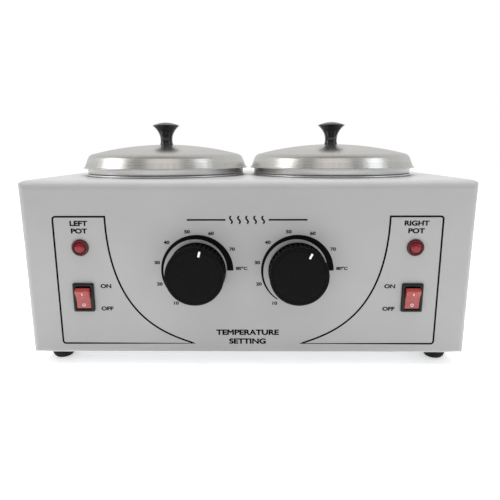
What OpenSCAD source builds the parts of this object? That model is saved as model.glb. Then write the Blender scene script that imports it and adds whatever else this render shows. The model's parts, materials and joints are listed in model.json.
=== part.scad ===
// Twin-pot wax warmer: a sheet-steel housing with two heated wells, two lift-out
// aluminium pots with lids, and a thermostat dial, a pilot lamp and a rocker switch
// for each pot. Millimetres. +Z is up, the control panel faces -Y, and the origin is
// under the middle of the whole object, on the surface that it stands on.

/* [Housing] */
// Width of the housing
body_w = 320; // [310:1:340]
// Depth of the housing
body_d = 170; // [168:1:190]
// Height of the housing, from its bottom flange to its top plane
body_h = 126.5; // [120:0.5:140]
// Thickness of the housing sheet
sheet_t = 1.2; // [1:0.1:1.5]
// Radius of the upright and top edges
edge_r = 6; // [4:0.5:8]
// Radius of the bottom edges, where the walls bend in to the flange
bottom_r = 3; // [2:0.5:4]

/* [Base and feet] */
// Thickness of the base plate
base_t = 1; // [0.8:0.1:1.5]
// Height of the rubber feet
foot_h = 9; // [8:0.5:12]
// Radius of the feet where they meet the base
foot_r = 8.8; // [8:0.2:10]
// Distance of the feet from the housing's ends
foot_inset_x = 15.5; // [14:0.5:20]
// Distance of the feet from the housing's front and back
foot_inset_y = 19; // [18:0.5:26]

/* [Wells and pots] */
// Distance between the two pots' centres
pot_spacing = 140.6; // [140:0.2:144]
// Distance of the pots' centres behind the front panel
pot_back = 88; // [87:0.5:92]
// Inner radius of a heating well
well_r = 60.6; // [60:0.1:61]
// Wall thickness of a heating well
well_t = 1.2; // [1:0.1:1.3]
// Depth of a heating well below the top plane
well_depth = 80; // [70:1:84]
// Outer radius of a well's flange
well_flange_r = 66; // [65.6:0.1:68]
// Wall thickness of a pot
pot_t = 1.2; // [1:0.1:1.5]
// Radial gap between a pot and its well
pot_gap = 1.3; // [1:0.1:1.5]
// Depth of a pot below the top plane
pot_depth = 76; // [60:1:76]
// Outer radius of a pot's collar
collar_r = 65.4; // [64:0.1:65.4]
// Height of a pot's rim above the top plane
rim_h = 9.6; // [8:0.1:9.6]

/* [Lids] */
// Outer radius of a lid's lip
lid_r = 69; // [69:0.1:70]
// Sheet thickness of a lid
lid_t = 1; // [0.8:0.1:1]
// Height of a lid's lip above the top plane
lip_h = 6; // [5:0.1:6.5]
// Height of a lid's apex above the top plane
apex_h = 25; // [25:0.1:28]
// Radius of the sphere that a lid's dome is part of
dome_sphere_r = 245; // [235:1:260]
// Radius at which a lid's dome turns into its shoulder
shoulder_start = 61; // [61:0.1:61.6]
// Radius of a lid's rounded shoulder
shoulder_r = 6; // [5.6:0.1:6]
// Lean of a lid's band from upright
band_lean = 22; // [20:0.5:23]
// Height of a lid's knob
lid_knob_h = 18.4; // [16:0.1:24]
// Radius of a lid knob's rim
lid_knob_r = 11.35; // [10:0.05:14]
// Radius of a lid knob's neck
lid_neck_r = 4.8; // [4:0.1:6]

/* [Controls] */
// Distance of the dials from the panel's middle
dial_x = 35.6; // [34:0.1:38]
// Distance of the dials below the top plane
dial_drop = 63.7; // [60:0.1:66]
// Radius of a dial knob's skirt
dial_r = 20.6; // [20:0.1:22]
// Radius of a dial knob's grip
grip_r = 20.2; // [18.5:0.1:20.2]
// How far the dial knobs stand out of the panel
dial_reach = 18.5; // [16:0.5:22]
// Left pointer's angle at rest, clockwise from the top
dial_left_angle = 13; // [-147:1:93]
// Right pointer's angle at rest, clockwise from the top
dial_right_angle = 27; // [-147:1:93]
// Distance of the lamps and switches from the panel's middle
switch_x = 118; // [112:0.5:124]
// Distance of the pilot lamps below the top plane
lamp_drop = 47; // [44:0.5:50]
// Distance of the switches below the top plane
switch_drop = 83.6; // [80:0.2:88]
// Width of a switch's frame
switch_w = 15; // [14:0.5:16]
// Height of a switch's frame
switch_h = 21; // [20:0.5:22]
// Tilt of a rocker to each side of its middle
rocker_tilt = 15; // [8:1:15]

/* [Cord inlet] */
// Height of the cord gland above the standing surface
gland_z = 36.5; // [32:0.5:60]
// Radius of the cord gland's bore
gland_bore_r = 3.6; // [3:0.1:4]
// How far the cord gland stands out of the back
gland_reach = 4; // [3:0.5:6]

/* [Hidden] */
$fn = 96;

LEFT = -1;
RIGHT = 1;
SIDES = [LEFT, RIGHT];
fit = 0.05;   // gap between pieces that sit against each other
over = 1;     // how far a cutter runs past what it cuts
nut_across = 7;
nut_bore_r = 2.05;
nut_h = 3.2;
slot_w = 0.9;

// Where the housing stands
front_y = -(body_d + dial_reach + gland_reach) / 2 + dial_reach;
back_y = front_y + body_d;
mid_y = (front_y + back_y) / 2;
body_z = foot_h + base_t;
top_z = body_z + body_h;
pot_x = pot_spacing / 2;
pot_y = front_y + pot_back;

// Housing openings
flange_inset = 10;
base_screw_inset = 7;
base_screw_steps = [-40, 0, 40];
base_screw_hole_r = 1.6;
base_vent_l = 60;
base_vent_w = 4;
base_vent_pitch = 12;
well_hole_r = well_r + well_t + 0.7;
spindle_hole_r = 5;
thermostat_screw_hole_r = 2.2;
lamp_hole_r = 5;
switch_hole_w = 13.2;
switch_hole_h = 19.2;
gland_hole_r = 6.1;
vent_count = 6;
vent_pitch = 9;
vent_w = 3;
vent_l = 26;
vent_x = 82;
vent_z = 74;

// Feet
foot_flat_r = 5.4;
foot_hole_r = 2.1;
foot_recess_r = 3.9;
foot_recess_h = 5;

// Wells, heaters and insulation
well_out_r = well_r + well_t;
well_flange_t = 1.5;
well_corner = 4;
ring_t = 1.5;
ring_r = 68.4;
heater_in_r = well_out_r + 0.1;
heater_out_r = heater_in_r + 3;
heater_z = top_z - 62;
heater_h = 40;
heater_split = 8;
ear_t = 1.2;
ear_h = 24;
ear_out_r = 74.5;
ear_gap = 0.4;
post_r = 2;
post_l = 6;
post_angle = 20;
insulation_in_r = heater_out_r + 0.2;
insulation_out_r = 68.9;
insulation_z = top_z - 66;
insulation_h = 48;
insulation_window = 60;

// Pots
pot_out_r = well_r - pot_gap;
step_z = top_z + well_flange_t + 0.2;
pot_z = top_z - pot_depth;
pot_corner = 5;

// Lids
lip_z = top_z + lip_h;
lip_rise = 0.9;
apex_z = top_z + apex_h;
dome_centre_z = apex_z - dome_sphere_r;
shoulder_angle = asin(shoulder_start / dome_sphere_r);
lid_hole_r = 2.2;
lid_screw_l = 10;

// Dials and thermostats
spindle_r = 3;
spindle_gap = 0.08;
flat_x = 2.3;
dial_gap = 1.2;
skirt_top = 2.6;
pointer_l = 3.8;
pointer_w = 1.9;
pointer_out = 0.2;
pointer_r = 16.2;
screw_pitch = 26;
thermostat_w = 30;
thermostat_h = 32;
thermostat_d = 16.5;
bush_r = 4.7;
bush_out = 0.6;
spindle_bore_l = 11;
bulb_r = 3;
bulb_l = 60;
bulb_z = top_z - well_depth - bulb_r - 0.1;
capillary_r = 0.9;

// Lamps and switches
lamp_bezel_r = 6;
lamp_barrel_r = 4.8;
lamp_barrel_l = 18;
lens_seat = 2;
lens_r = 4.1;
frame_t = 2;
well_open_w = 10.6;
well_open_h = 17;
switch_body_w = 12.8;
switch_body_h = 18.8;
switch_body_d = 13;
rocker_well_d = 7;
rocker_w = 10.2;
rocker_edge_y = 7.2;
rocker_edge_z = 4.6;
rocker_dish = 1.4;
rocker_end = [8, 1];
rocker_foot = 3.6;
pivot_out = -0.9;
pivot_r = 1;
blade_w = 4.8;
blade_t = 0.8;
blade_l = 8;

// Cord gland and terminal block
gland_in = 4;
block_w = 36;
block_d = 20;
block_h = 16;
block_y = back_y - 38;
way_pitch = 11;
way_screw_y = 5;
way_r = 3;
wire_hole_r = 1.9;
wire_hole_z = 6;
wire_r = 1.1;
wire_gap = 0.45;

// ---- shared shapes ----

// A rectangle with four round corners, centred
module rounded_rect(w, h, r) {
    square([w - 2 * r, h], center = true);
    square([w, h - 2 * r], center = true);
    for (x = [-1, 1], y = [-1, 1])
        translate([x * (w / 2 - r), y * (h / 2 - r)]) circle(r, $fn = 48);
}

// The outline of a wall seen square on: large radii at the top, small ones below
module wall_outline(w, h, top_r, low_r) {
    translate([-w / 2 + low_r, 0]) square([w - 2 * low_r, h / 2]);
    translate([-w / 2, low_r]) square([w, h - top_r - low_r]);
    translate([-w / 2 + top_r, h / 2]) square([w - 2 * top_r, h / 2]);
    for (x = [-1, 1]) {
        translate([x * (w / 2 - low_r), low_r]) circle(low_r, $fn = 48);
        translate([x * (w / 2 - top_r), h - top_r]) circle(top_r, $fn = 48);
    }
}

// A box with rounded edges, standing on z = 0
module rounded_box(w, d, h, top_r, low_r) {
    intersection() {
        linear_extrude(h) rounded_rect(w, d, top_r);
        translate([0, d / 2, 0]) rotate([90, 0, 0])
            linear_extrude(d) wall_outline(w, h, top_r, low_r);
        translate([-w / 2, 0, 0]) rotate([90, 0, 90])
            linear_extrude(w) wall_outline(d, h, top_r, low_r);
    }
}

// A box centred on x and y, standing on z = 0
module block(w, d, h) {
    translate([-w / 2, -d / 2, 0]) cube([w, d, h]);
}

// Half of a cup's section: a rectangle with its low outer corner rounded
module cup_profile(r, h, corner) {
    square([r - corner, h]);
    translate([0, corner]) square([r, h - corner]);
    translate([r - corner, corner]) circle(corner, $fn = 48);
}

// A flat ring
module ring(out_r, in_r, h) {
    difference() {
        cylinder(r = out_r, h = h);
        translate([0, 0, -over]) cylinder(r = in_r, h = h + 2 * over);
    }
}

// A pan-head screw with its head's underside at z = 0 and its shank going up
module pan_screw(shank_r, length, head_r, head_h) {
    translate([0, 0, -head_h]) difference() {
        cylinder(r = head_r, h = head_h);
        for (turn = [0, 90])
            rotate([0, 0, turn]) translate([0, 0, -over])
                block(head_r * 1.2, slot_w, over + head_h / 2);
    }
    translate([0, 0, -0.01]) cylinder(r = shank_r, h = length);
}

// A hexagon nut standing on z = 0
module hex_nut(across, bore_r, h) {
    difference() {
        cylinder(r = across / 2 / cos(30), h = h, $fn = 6);
        translate([0, 0, -over]) cylinder(r = bore_r, h = h + 2 * over);
    }
}

// Places its children on the front panel: x right, y up, z out of the panel
module on_panel(x, drop) {
    translate([x, front_y, top_z - drop]) rotate([90, 0, 0]) children();
}

// Places its children on the back wall: x left, y up, z out of the back
module on_back(x, z) {
    translate([x, back_y, z]) rotate([-90, 0, 0]) rotate([0, 0, 180]) children();
}

// Draws its children, modelled on the right side, on the side that is asked for
module on_side(side) {
    if (side == LEFT) mirror([1, 0, 0]) children();
    else children();
}

// ---- swept wires ----

function unit(v) = v / norm(v);

// A point between p1 and p2 on the smooth curve through four points
function spline_point(p0, p1, p2, p3, t) =
    0.5 * (2 * p1 + (p2 - p0) * t + (2 * p0 - 5 * p1 + 4 * p2 - p3) * t ^ 2
        + (3 * p1 - p0 - 3 * p2 + p3) * t ^ 3);

// The smooth curve through a list of points, with steps rings in each stretch
function smooth_route(points, steps) = let (last = len(points) - 1) concat(
    [for (i = [0:last - 1], k = [0:steps - 1])
        spline_point(points[max(i - 1, 0)], points[i], points[i + 1],
            points[min(i + 2, last)], k / steps)],
    [points[last]]);

function direction(route, i) =
    unit(route[min(i + 1, len(route) - 1)] - route[max(i - 1, 0)]);

// A side direction that is carried along the route, so that the tube never twists
function side_directions(route, i = 0, before = [0.31, 0.52, 0.79]) =
    i == len(route) ? [] :
    let (d = direction(route, i), side = unit(before - (before * d) * d))
    concat([side], side_directions(route, i + 1, side));

// A round wire of radius r along the smooth curve through points
module wire(points, r, steps = 4, sides = 8) {
    route = smooth_route(points, steps);
    across = side_directions(route);
    rings = len(route);
    corners = [for (i = [0:rings - 1], k = [0:sides - 1])
        let (up = cross(direction(route, i), across[i]), a = 360 * k / sides)
        route[i] + r * (cos(a) * across[i] + sin(a) * up)];
    walls = [for (i = [0:rings - 2], k = [0:sides - 1])
        let (a = i * sides + k, b = i * sides + (k + 1) % sides)
        [a, a + sides, b + sides, b]];
    first_cap = [[for (k = [0:sides - 1]) k]];
    last_cap = [[for (k = [sides - 1:-1:0]) (rings - 1) * sides + k]];
    polyhedron(corners, concat(walls, first_cap, last_cap));
}

// ---- housing, base and feet ----

// A slot with round ends, upright, cut through the back wall
module vent_slot() {
    cube([vent_w, vent_l - vent_w, 4 * sheet_t], center = true);
    for (y = [-1, 1])
        translate([0, y * (vent_l - vent_w) / 2, 0])
            cylinder(r = vent_w / 2, h = 4 * sheet_t, center = true, $fn = 32);
}

module vent_group() {
    for (i = [0:vent_count - 1])
        translate([(i - (vent_count - 1) / 2) * vent_pitch, 0, 0]) vent_slot();
}

module housing_shell() {
    difference() {
        translate([0, mid_y, body_z])
            rounded_box(body_w, body_d, body_h, edge_r, bottom_r);
        translate([0, mid_y, body_z + sheet_t])
            rounded_box(body_w - 2 * sheet_t, body_d - 2 * sheet_t, body_h - 2 * sheet_t,
                edge_r - sheet_t, bottom_r - sheet_t);
        translate([0, mid_y, body_z - over])
            block(body_w - 2 * flange_inset, body_d - 2 * flange_inset, sheet_t + 2 * over);
    }
}

module panel_cutter(r) {
    translate([0, 0, -2 * sheet_t]) cylinder(r = r, h = 4 * sheet_t);
}

module housing() {
    color("Gainsboro") difference() {
        housing_shell();
        for (side = SIDES) {
            translate([side * pot_x, pot_y, top_z - 2 * sheet_t])
                cylinder(r = well_hole_r, h = 4 * sheet_t);
            on_panel(side * dial_x, dial_drop) panel_cutter(spindle_hole_r);
            for (x = [-1, 1])
                on_panel(side * dial_x + x * screw_pitch / 2, dial_drop)
                    panel_cutter(thermostat_screw_hole_r);
            on_panel(side * switch_x, lamp_drop) panel_cutter(lamp_hole_r);
            on_panel(side * switch_x, switch_drop)
                cube([switch_hole_w, switch_hole_h, 4 * sheet_t], center = true);
            on_back(side * vent_x, vent_z) vent_group();
        }
        on_back(0, gland_z) panel_cutter(gland_hole_r);
        at_base_screws() translate([0, 0, body_z - over])
            cylinder(r = base_screw_hole_r, h = sheet_t + 2 * over);
    }
}

module at_base_screws() {
    for (side = SIDES, step = base_screw_steps)
        translate([side * (body_w / 2 - base_screw_inset), mid_y + step, 0]) children();
}

module at_feet() {
    for (x = SIDES, y = [front_y + foot_inset_y, back_y - foot_inset_y])
        translate([x * (body_w / 2 - foot_inset_x), y, 0]) children();
}

module base_plate() {
    color("Gray") difference() {
        translate([0, mid_y, foot_h]) linear_extrude(base_t)
            rounded_rect(body_w - 8, body_d - 8, edge_r);
        at_base_screws() translate([0, 0, foot_h - over])
            cylinder(r = base_screw_hole_r, h = base_t + 2 * over);
        at_feet() translate([0, 0, foot_h - over])
            cylinder(r = foot_hole_r, h = base_t + 2 * over);
        for (side = SIDES, i = [-2:2])
            translate([side * pot_x, pot_y + i * base_vent_pitch, foot_h - over])
                block(base_vent_l, base_vent_w, base_t + 2 * over);
    }
}

module base_screws() {
    color("Silver") at_base_screws() translate([0, 0, foot_h - fit]) pan_screw(1.5, 8, 3, 1.8);
}

// One rubber foot: a low dome with a flat tread and a recess for its screw
module foot(side_x, side_y) {
    steps = 6;
    profile = [for (i = [0:steps]) let (a = 90 * i / steps)
        [foot_flat_r + (foot_r - foot_flat_r) * sin(a), (foot_h - fit) * (1 - cos(a))]];
    x = side_x * (body_w / 2 - foot_inset_x);
    y = side_y < 0 ? front_y + foot_inset_y : back_y - foot_inset_y;
    color("Black") translate([x, y, 0]) difference() {
        rotate_extrude() polygon(concat([[0, 0]], profile, [[0, foot_h - fit]]));
        translate([0, 0, -over]) cylinder(r = foot_recess_r, h = foot_recess_h + over);
        cylinder(r = foot_hole_r, h = foot_h + over);
    }
}

module foot_screws() {
    color("Silver") at_feet() translate([0, 0, foot_recess_h - fit]) pan_screw(2, 10, 3.6, 2.4);
}

module foot_nuts() {
    color("Silver") at_feet() translate([0, 0, body_z + fit]) hex_nut(nut_across, nut_bore_r, nut_h);
}

// ---- wells, heaters and insulation ----

module heating_well(side) {
    h = well_depth + well_flange_t;
    color("LightGray") translate([side * pot_x, pot_y, top_z - well_depth]) rotate_extrude()
        difference() {
            union() {
                cup_profile(well_out_r, h, well_corner);
                translate([0, well_depth + fit]) square([well_flange_r, well_flange_t - fit]);
            }
            translate([0, well_t]) cup_profile(well_r, h, well_corner - well_t);
        }
}

module well_ring(side) {
    color("DarkGray")
        translate([side * pot_x, pot_y, top_z - sheet_t - fit - ring_t])
            ring(ring_r, well_out_r + 0.2, ring_t);
}

// Height of the middle of the heater's clamp
clamp_z = heater_z + heater_h / 2;
clamp_y = (heater_out_r + ear_out_r) / 2 + 1;
ear_x = heater_in_r * sin(heater_split / 2) + ear_gap;

module band_heater(side) {
    color("DimGray") translate([side * pot_x, pot_y, 0]) {
        difference() {
            union() {
                translate([0, 0, heater_z]) rotate([0, 0, 90 + heater_split / 2])
                    rotate_extrude(angle = 360 - heater_split)
                        translate([heater_in_r, 0]) square([heater_out_r - heater_in_r, heater_h]);
                for (x = [-1, 1])
                    translate([x * (ear_x + ear_t / 2), heater_in_r + 1.2, clamp_z - ear_h / 2])
                        translate([-ear_t / 2, 0, 0]) cube([ear_t, ear_out_r - heater_in_r, ear_h]);
            }
            translate([-ear_h / 2, clamp_y, clamp_z]) rotate([0, 90, 0])
                cylinder(r = nut_bore_r + fit, h = ear_h);
        }
        for (x = [-1, 1])
            rotate([0, 0, 90 + x * post_angle]) translate([heater_out_r - 0.5, 0, clamp_z])
                rotate([0, 90, 0]) cylinder(r = post_r, h = post_l);
    }
}

module heater_clamp_screws() {
    head_x = ear_x + ear_t + fit;
    color("Silver") for (side = SIDES)
        translate([side * pot_x, pot_y + clamp_y, clamp_z]) {
            translate([-head_x, 0, 0]) rotate([0, 90, 0]) pan_screw(2, 2 * head_x + 4, 3.4, 2.2);
            translate([head_x, 0, 0]) rotate([0, 90, 0]) hex_nut(nut_across, nut_bore_r, nut_h);
        }
}

module insulation(side) {
    color("Beige") translate([side * pot_x, pot_y, insulation_z])
        rotate([0, 0, 90 + insulation_window / 2])
            rotate_extrude(angle = 360 - insulation_window) translate([insulation_in_r, 0])
                square([insulation_out_r - insulation_in_r, insulation_h]);
}

// ---- pots and lids ----

module pot(side) {
    h = step_z - pot_z;
    collar_h = top_z + rim_h - step_z;
    color("Silver") translate([side * pot_x, pot_y, pot_z]) rotate_extrude() difference() {
        union() {
            cup_profile(pot_out_r, h + pot_t, pot_corner);
            translate([0, h]) square([collar_r, collar_h]);
        }
        translate([0, pot_t]) cup_profile(pot_out_r - pot_t, h + collar_h, pot_corner - pot_t);
        translate([0, h + pot_t]) square([collar_r - pot_t, collar_h]);
    }
}

// A point of a lid's section at an angle from upright, on a sphere or round of radius r
function dome_point(r, a) = [r * sin(a), dome_centre_z + r * cos(a)];

function shoulder_point(r, a) =
    dome_point(dome_sphere_r - shoulder_r, shoulder_angle) + r * [sin(a), cos(a)];

// Section of a lid from the knob's hole, over the dome and shoulder, to the lip
module lid_profile() {
    dome_steps = 24;
    shoulder_steps = 8;
    hole_angle = asin(lid_hole_r / dome_sphere_r);
    dome_angles = [for (i = [0:dome_steps])
        hole_angle + (shoulder_angle - hole_angle) * i / dome_steps];
    shoulder_angles = [for (i = [1:shoulder_steps])
        shoulder_angle + (90 - band_lean - shoulder_angle) * i / shoulder_steps];
    outside = concat(
        [for (a = dome_angles) dome_point(dome_sphere_r, a)],
        [for (a = shoulder_angles) shoulder_point(shoulder_r, a)]);
    inside = concat(
        [for (i = [shoulder_steps - 1:-1:0]) shoulder_point(shoulder_r - lid_t, shoulder_angles[i])],
        [for (i = [dome_steps:-1:0]) dome_point(dome_sphere_r - lid_t, dome_angles[i])]);
    band_top = outside[len(outside) - 1];
    band_low = band_top + (band_top.y - lip_z - lip_rise) * [tan(band_lean), -1];
    inner_low = inside[0] + (inside[0].y - lip_z) * [tan(band_lean), -1];
    lip = [band_low, [lid_r, lip_z + lip_rise - 0.4], [lid_r, lip_z], inner_low];
    polygon(concat(outside, lip, inside));
}

module lid(side) {
    color("Silver") translate([side * pot_x, pot_y, 0]) rotate_extrude() lid_profile();
}

// Radius of a lid's knob at height t, from 0 at its foot to 1 under its rim
function knob_flare(t) = lid_neck_r + 0.9 * (1 - t) ^ 10 + (lid_knob_r - lid_neck_r) * t ^ 3;

module lid_knob(side) {
    flare_steps = 18;
    flare_h = lid_knob_h * 0.84;
    cap_steps = 8;
    cap_z = flare_h + 0.4;
    flare = [for (i = [0:flare_steps]) let (t = i / flare_steps) [knob_flare(t), t * flare_h]];
    cap = [for (i = [0:cap_steps - 1]) let (t = i / cap_steps)
        [lid_knob_r * (1 - t), cap_z + (lid_knob_h - cap_z) * (1 - (1 - t) ^ 2)]];
    color("Black") translate([side * pot_x, pot_y, apex_z]) difference() {
        rotate_extrude() polygon(concat([[0, 0]], flare, cap, [[0, lid_knob_h]]));
        translate([0, 0, -over]) cylinder(r = nut_bore_r, h = lid_screw_l + over);
    }
}

module lid_screw(side) {
    color("Silver") translate([side * pot_x, pot_y, apex_z - lid_t - fit])
        pan_screw(2, lid_screw_l, 3.8, 2.2);
}

// ---- dials and thermostats ----

// A capillary thermostat: its case, and the bush that the spindle turns in
module thermostat(side) {
    back = sheet_t + fit;
    color("Tan") on_panel(side * dial_x, dial_drop) difference() {
        union() {
            translate([0, 0, -back - thermostat_d]) block(thermostat_w, thermostat_h, thermostat_d);
            translate([0, 0, -back - over]) cylinder(r = bush_r, h = back + over + bush_out);
        }
        translate([0, 0, -back - spindle_bore_l])
            cylinder(r = spindle_r + spindle_gap, h = back + spindle_bore_l + bush_out + over);
        for (x = [-1, 1])
            translate([x * screw_pitch / 2, 0, -back - 6]) cylinder(r = 1.75, h = 8);
    }
}

module thermostat_screws() {
    color("Silver") for (side = SIDES, x = [-1, 1])
        on_panel(side * dial_x + x * screw_pitch / 2, dial_drop)
            translate([0, 0, fit]) rotate([180, 0, 0]) pan_screw(1.7, 6, 3.3, 1.9);
}

module dial_turn(side) {
    angle = side == LEFT ? dial_left_angle : dial_right_angle;
    on_panel(side * dial_x, dial_drop) rotate([0, 0, -angle]) children();
}

module dial_spindle(side) {
    back = sheet_t + 10.5;
    tip = 12.6;
    color("Silver") dial_turn(side) difference() {
        translate([0, 0, -back]) cylinder(r = spindle_r, h = back + tip);
        translate([flat_x, -5, 4]) cube([5, 10, tip]);
    }
}

module dial_knob(side) {
    face = dial_reach - pointer_out;
    cavity_z = 5;
    profile = [[0, dial_gap], [dial_r - 0.3, dial_gap], [dial_r, dial_gap + 0.3],
        [dial_r, skirt_top], [grip_r, skirt_top + 0.6], [grip_r, face - 1.2],
        [grip_r - 0.4, face - 0.4], [grip_r - 1.2, face], [0, face]];
    color("#1c1c1c") dial_turn(side) difference() {
        rotate_extrude() polygon(profile);
        translate([0, 0, -over]) ring(17.4, 6.5, cavity_z + over);
        translate([0, 0, -over]) intersection() {
            cylinder(r = spindle_r + fit, h = 13 + over);
            union() {
                translate([-10, -10, 0]) cube([10 + flat_x + fit, 20, 20]);
                translate([-10, -10, 0]) cube([20, 20, cavity_z]);
            }
        }
        translate([0, pointer_r, face - 0.8])
            block(pointer_w + 2 * fit, pointer_l + 2 * fit, 0.8 + over);
    }
}

module dial_pointer(side) {
    color("White") dial_turn(side)
        translate([0, pointer_r, dial_reach - pointer_out - 0.75])
            block(pointer_w, pointer_l, 0.75 + pointer_out);
}

module sensor_bulb(side) {
    color("Peru") on_side(side) translate([pot_x - bulb_l / 2, pot_y, bulb_z]) rotate([0, 90, 0])
        cylinder(r = bulb_r, h = bulb_l);
}

module bulb_clip(side) {
    under = top_z - well_depth - 0.1;
    color("Silver") on_side(side) translate([pot_x, pot_y, 0]) difference() {
        union() {
            translate([0, 0, under - 1]) block(12, 28, 1);
            translate([0, 0, under - 2 * bulb_r - 1.6]) block(12, 2 * bulb_r + 3, 2 * bulb_r + 1.6);
        }
        translate([-10, 0, bulb_z]) rotate([0, 90, 0]) cylinder(r = bulb_r + 0.1, h = 20);
        translate([0, 0, bulb_z]) block(20, 2 * bulb_r + 0.2, 2 * bulb_r);
    }
}

// Route of the capillary tube from the bulb, under the well, up to the thermostat
capillary_route = [[pot_x - bulb_l / 2 - 0.3, pot_y, bulb_z], [34, pot_y - 2, bulb_z],
    [27, pot_y - 12, bulb_z - 4], [24, pot_y - 34, bulb_z - 12], [28, front_y + 26, bulb_z - 16],
    [dial_x - 2, front_y + 12, bulb_z - 10],
    [dial_x, front_y + 10, top_z - dial_drop - thermostat_h / 2 - wire_gap]];

module capillary(side) {
    color("Peru") on_side(side) wire(capillary_route, capillary_r);
}

// ---- pilot lamps and switches ----

module pilot_lamp(side) {
    color("#3a0a0c") on_panel(side * switch_x, lamp_drop) difference() {
        union() {
            rotate_extrude() polygon([[0, fit], [lamp_bezel_r, fit], [lamp_bezel_r, 0.9],
                [lamp_bezel_r - 0.7, 1.7], [0, 1.7]]);
            translate([0, 0, -lamp_barrel_l])
                cylinder(r = lamp_barrel_r, h = lamp_barrel_l + over);
        }
        translate([0, 0, -lens_seat]) cylinder(r = lens_r + 0.1, h = lens_seat + 2 + over);
    }
}

module pilot_lens(side) {
    steps = 6;
    dome = [for (i = [0:steps]) let (a = 90 * i / steps) [lens_r * cos(a), 1.5 + 1.1 * sin(a)]];
    color("Red") on_panel(side * switch_x, lamp_drop)
        rotate_extrude() polygon(concat([[0, -1.9], [lens_r, -1.9]], dome));
}

module lamp_nuts() {
    color("White") for (side = SIDES)
        on_panel(side * switch_x, lamp_drop) translate([0, 0, -sheet_t - fit - 3])
            hex_nut(14, lamp_barrel_r + fit, 3);
}

module switch_frame(side) {
    color("Black") on_panel(side * switch_x, switch_drop) difference() {
        union() {
            translate([0, 0, fit]) linear_extrude(frame_t - fit) rounded_rect(switch_w, switch_h, 1);
            translate([0, 0, -switch_body_d])
                block(switch_body_w, switch_body_h, switch_body_d + over);
        }
        translate([0, 0, -rocker_well_d])
            block(well_open_w, well_open_h, rocker_well_d + frame_t + over);
        translate([-10, 0, pivot_out]) rotate([0, 90, 0])
            cylinder(r = pivot_r + spindle_gap, h = 20, $fn = 48);
    }
}

// A dished rocker on two stub pins, tilted to OFF: its lower end is pressed in
module rocker(side) {
    right_half = [[0, rocker_edge_z - rocker_dish], [rocker_edge_y, rocker_edge_z], rocker_end,
        [rocker_end.x - 1.5, -1], [rocker_foot, -rocker_foot]];
    left_half = [for (i = [4:-1:1]) [-right_half[i].x, right_half[i].y]];
    color("Red") on_panel(side * switch_x, switch_drop)
        translate([0, 0, pivot_out]) rotate([rocker_tilt, 0, 0]) {
            translate([-rocker_w / 2, 0, 0]) rotate([90, 0, 90]) linear_extrude(rocker_w)
                polygon(concat(right_half, left_half));
            rotate([0, 90, 0]) cylinder(r = pivot_r, h = rocker_w + 1.9, center = true, $fn = 48);
        }
}

module switch_terminals() {
    color("Gold") for (side = SIDES, y = [-1, 1])
        on_panel(side * switch_x, switch_drop)
            translate([0, y * 5, -switch_body_d - fit - blade_l]) block(blade_w, blade_t, blade_l);
}

// ---- terminal block, earth stud, wiring and cord gland ----

module at_ways() {
    for (i = [-1:1]) translate([i * way_pitch, block_y, body_z]) children();
}

module terminal_block() {
    color("Ivory") difference() {
        translate([0, block_y, body_z + fit]) block(block_w, block_d, block_h);
        at_ways() {
            for (y = [-way_screw_y, way_screw_y]) translate([0, y, block_h / 2])
                cylinder(r = way_r, h = block_h, $fn = 32);
            translate([0, block_d, wire_hole_z]) rotate([90, 0, 0])
                cylinder(r = wire_hole_r, h = 2 * block_d, $fn = 32);
        }
    }
}

module terminal_screws() {
    color("Gold") at_ways() for (y = [-way_screw_y, way_screw_y])
        translate([0, y, 13]) rotate([180, 0, 0]) pan_screw(1.6, 4, 2.6, 1.6);
}

module earth_stud() {
    color("Silver") translate([60, back_y - 24, body_z + fit]) {
        cylinder(r = 2, h = 15);
        translate([0, 0, 3]) hex_nut(nut_across, nut_bore_r, nut_h);
    }
}

switch_back_y = front_y + switch_body_d + blade_l + wire_gap;
thermostat_low_z = top_z - dial_drop - thermostat_h / 2 - wire_gap;

// Routes of one side's wires: supply to switch, switch to thermostat, thermostat to
// heater, and lamp to switch
supply_route = [[way_pitch, block_y - block_d / 2 - fit, body_z + wire_hole_z], [12, block_y - 18, 15],
    [40, block_y - 26, 14], [90, pot_y + 20, 15], [128, pot_y - 20, 18], [134, front_y + 42, 26],
    [122, front_y + 30, 42], [switch_x, switch_back_y + 3, 47], [switch_x, switch_back_y, 47.8]];
control_route = [[switch_x - 1.4, switch_back_y, 57.8], [switch_x - 4, switch_back_y + 4, 55],
    [104, front_y + 24, 44], [72, front_y + 16, 38], [48, front_y + 12, 44],
    [42, front_y + 10, thermostat_low_z]];
heater_route = [[28, front_y + 10, thermostat_low_z], [26, front_y + 14, 46],
    [18, front_y + 34, 34], [14, pot_y + 10, 32], [20, pot_y + 46, 40],
    [32, pot_y + 66, 62], [44, pot_y + 71, 84], [48, pot_y + 68.5, clamp_z]];
lamp_route = [[switch_x, front_y + lamp_barrel_l + wire_gap, top_z - lamp_drop],
    [switch_x - 1, front_y + 24, top_z - lamp_drop - 4], [switch_x - 3, front_y + 27, 76],
    [switch_x + 1, front_y + 26, 66], [switch_x + 1.4, switch_back_y + 0.5, 58.4]];

module wiring(side) {
    color("Crimson") on_side(side) {
        wire(supply_route, wire_r);
        wire(control_route, wire_r);
        wire(heater_route, wire_r);
        wire(lamp_route, wire_r);
    }
}

module cord_gland() {
    neck_r = gland_hole_r - 0.1;
    color("#202020") on_back(0, gland_z) rotate_extrude() polygon([
        [gland_bore_r, -gland_in], [8, -gland_in], [8.5, -gland_in + 0.6], [8.5, -sheet_t - fit],
        [neck_r, -sheet_t - fit], [neck_r, fit], [9, fit], [9, 1.6], [6.4, gland_reach],
        [gland_bore_r, gland_reach]]);
}

// ---- nodes ----

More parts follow.
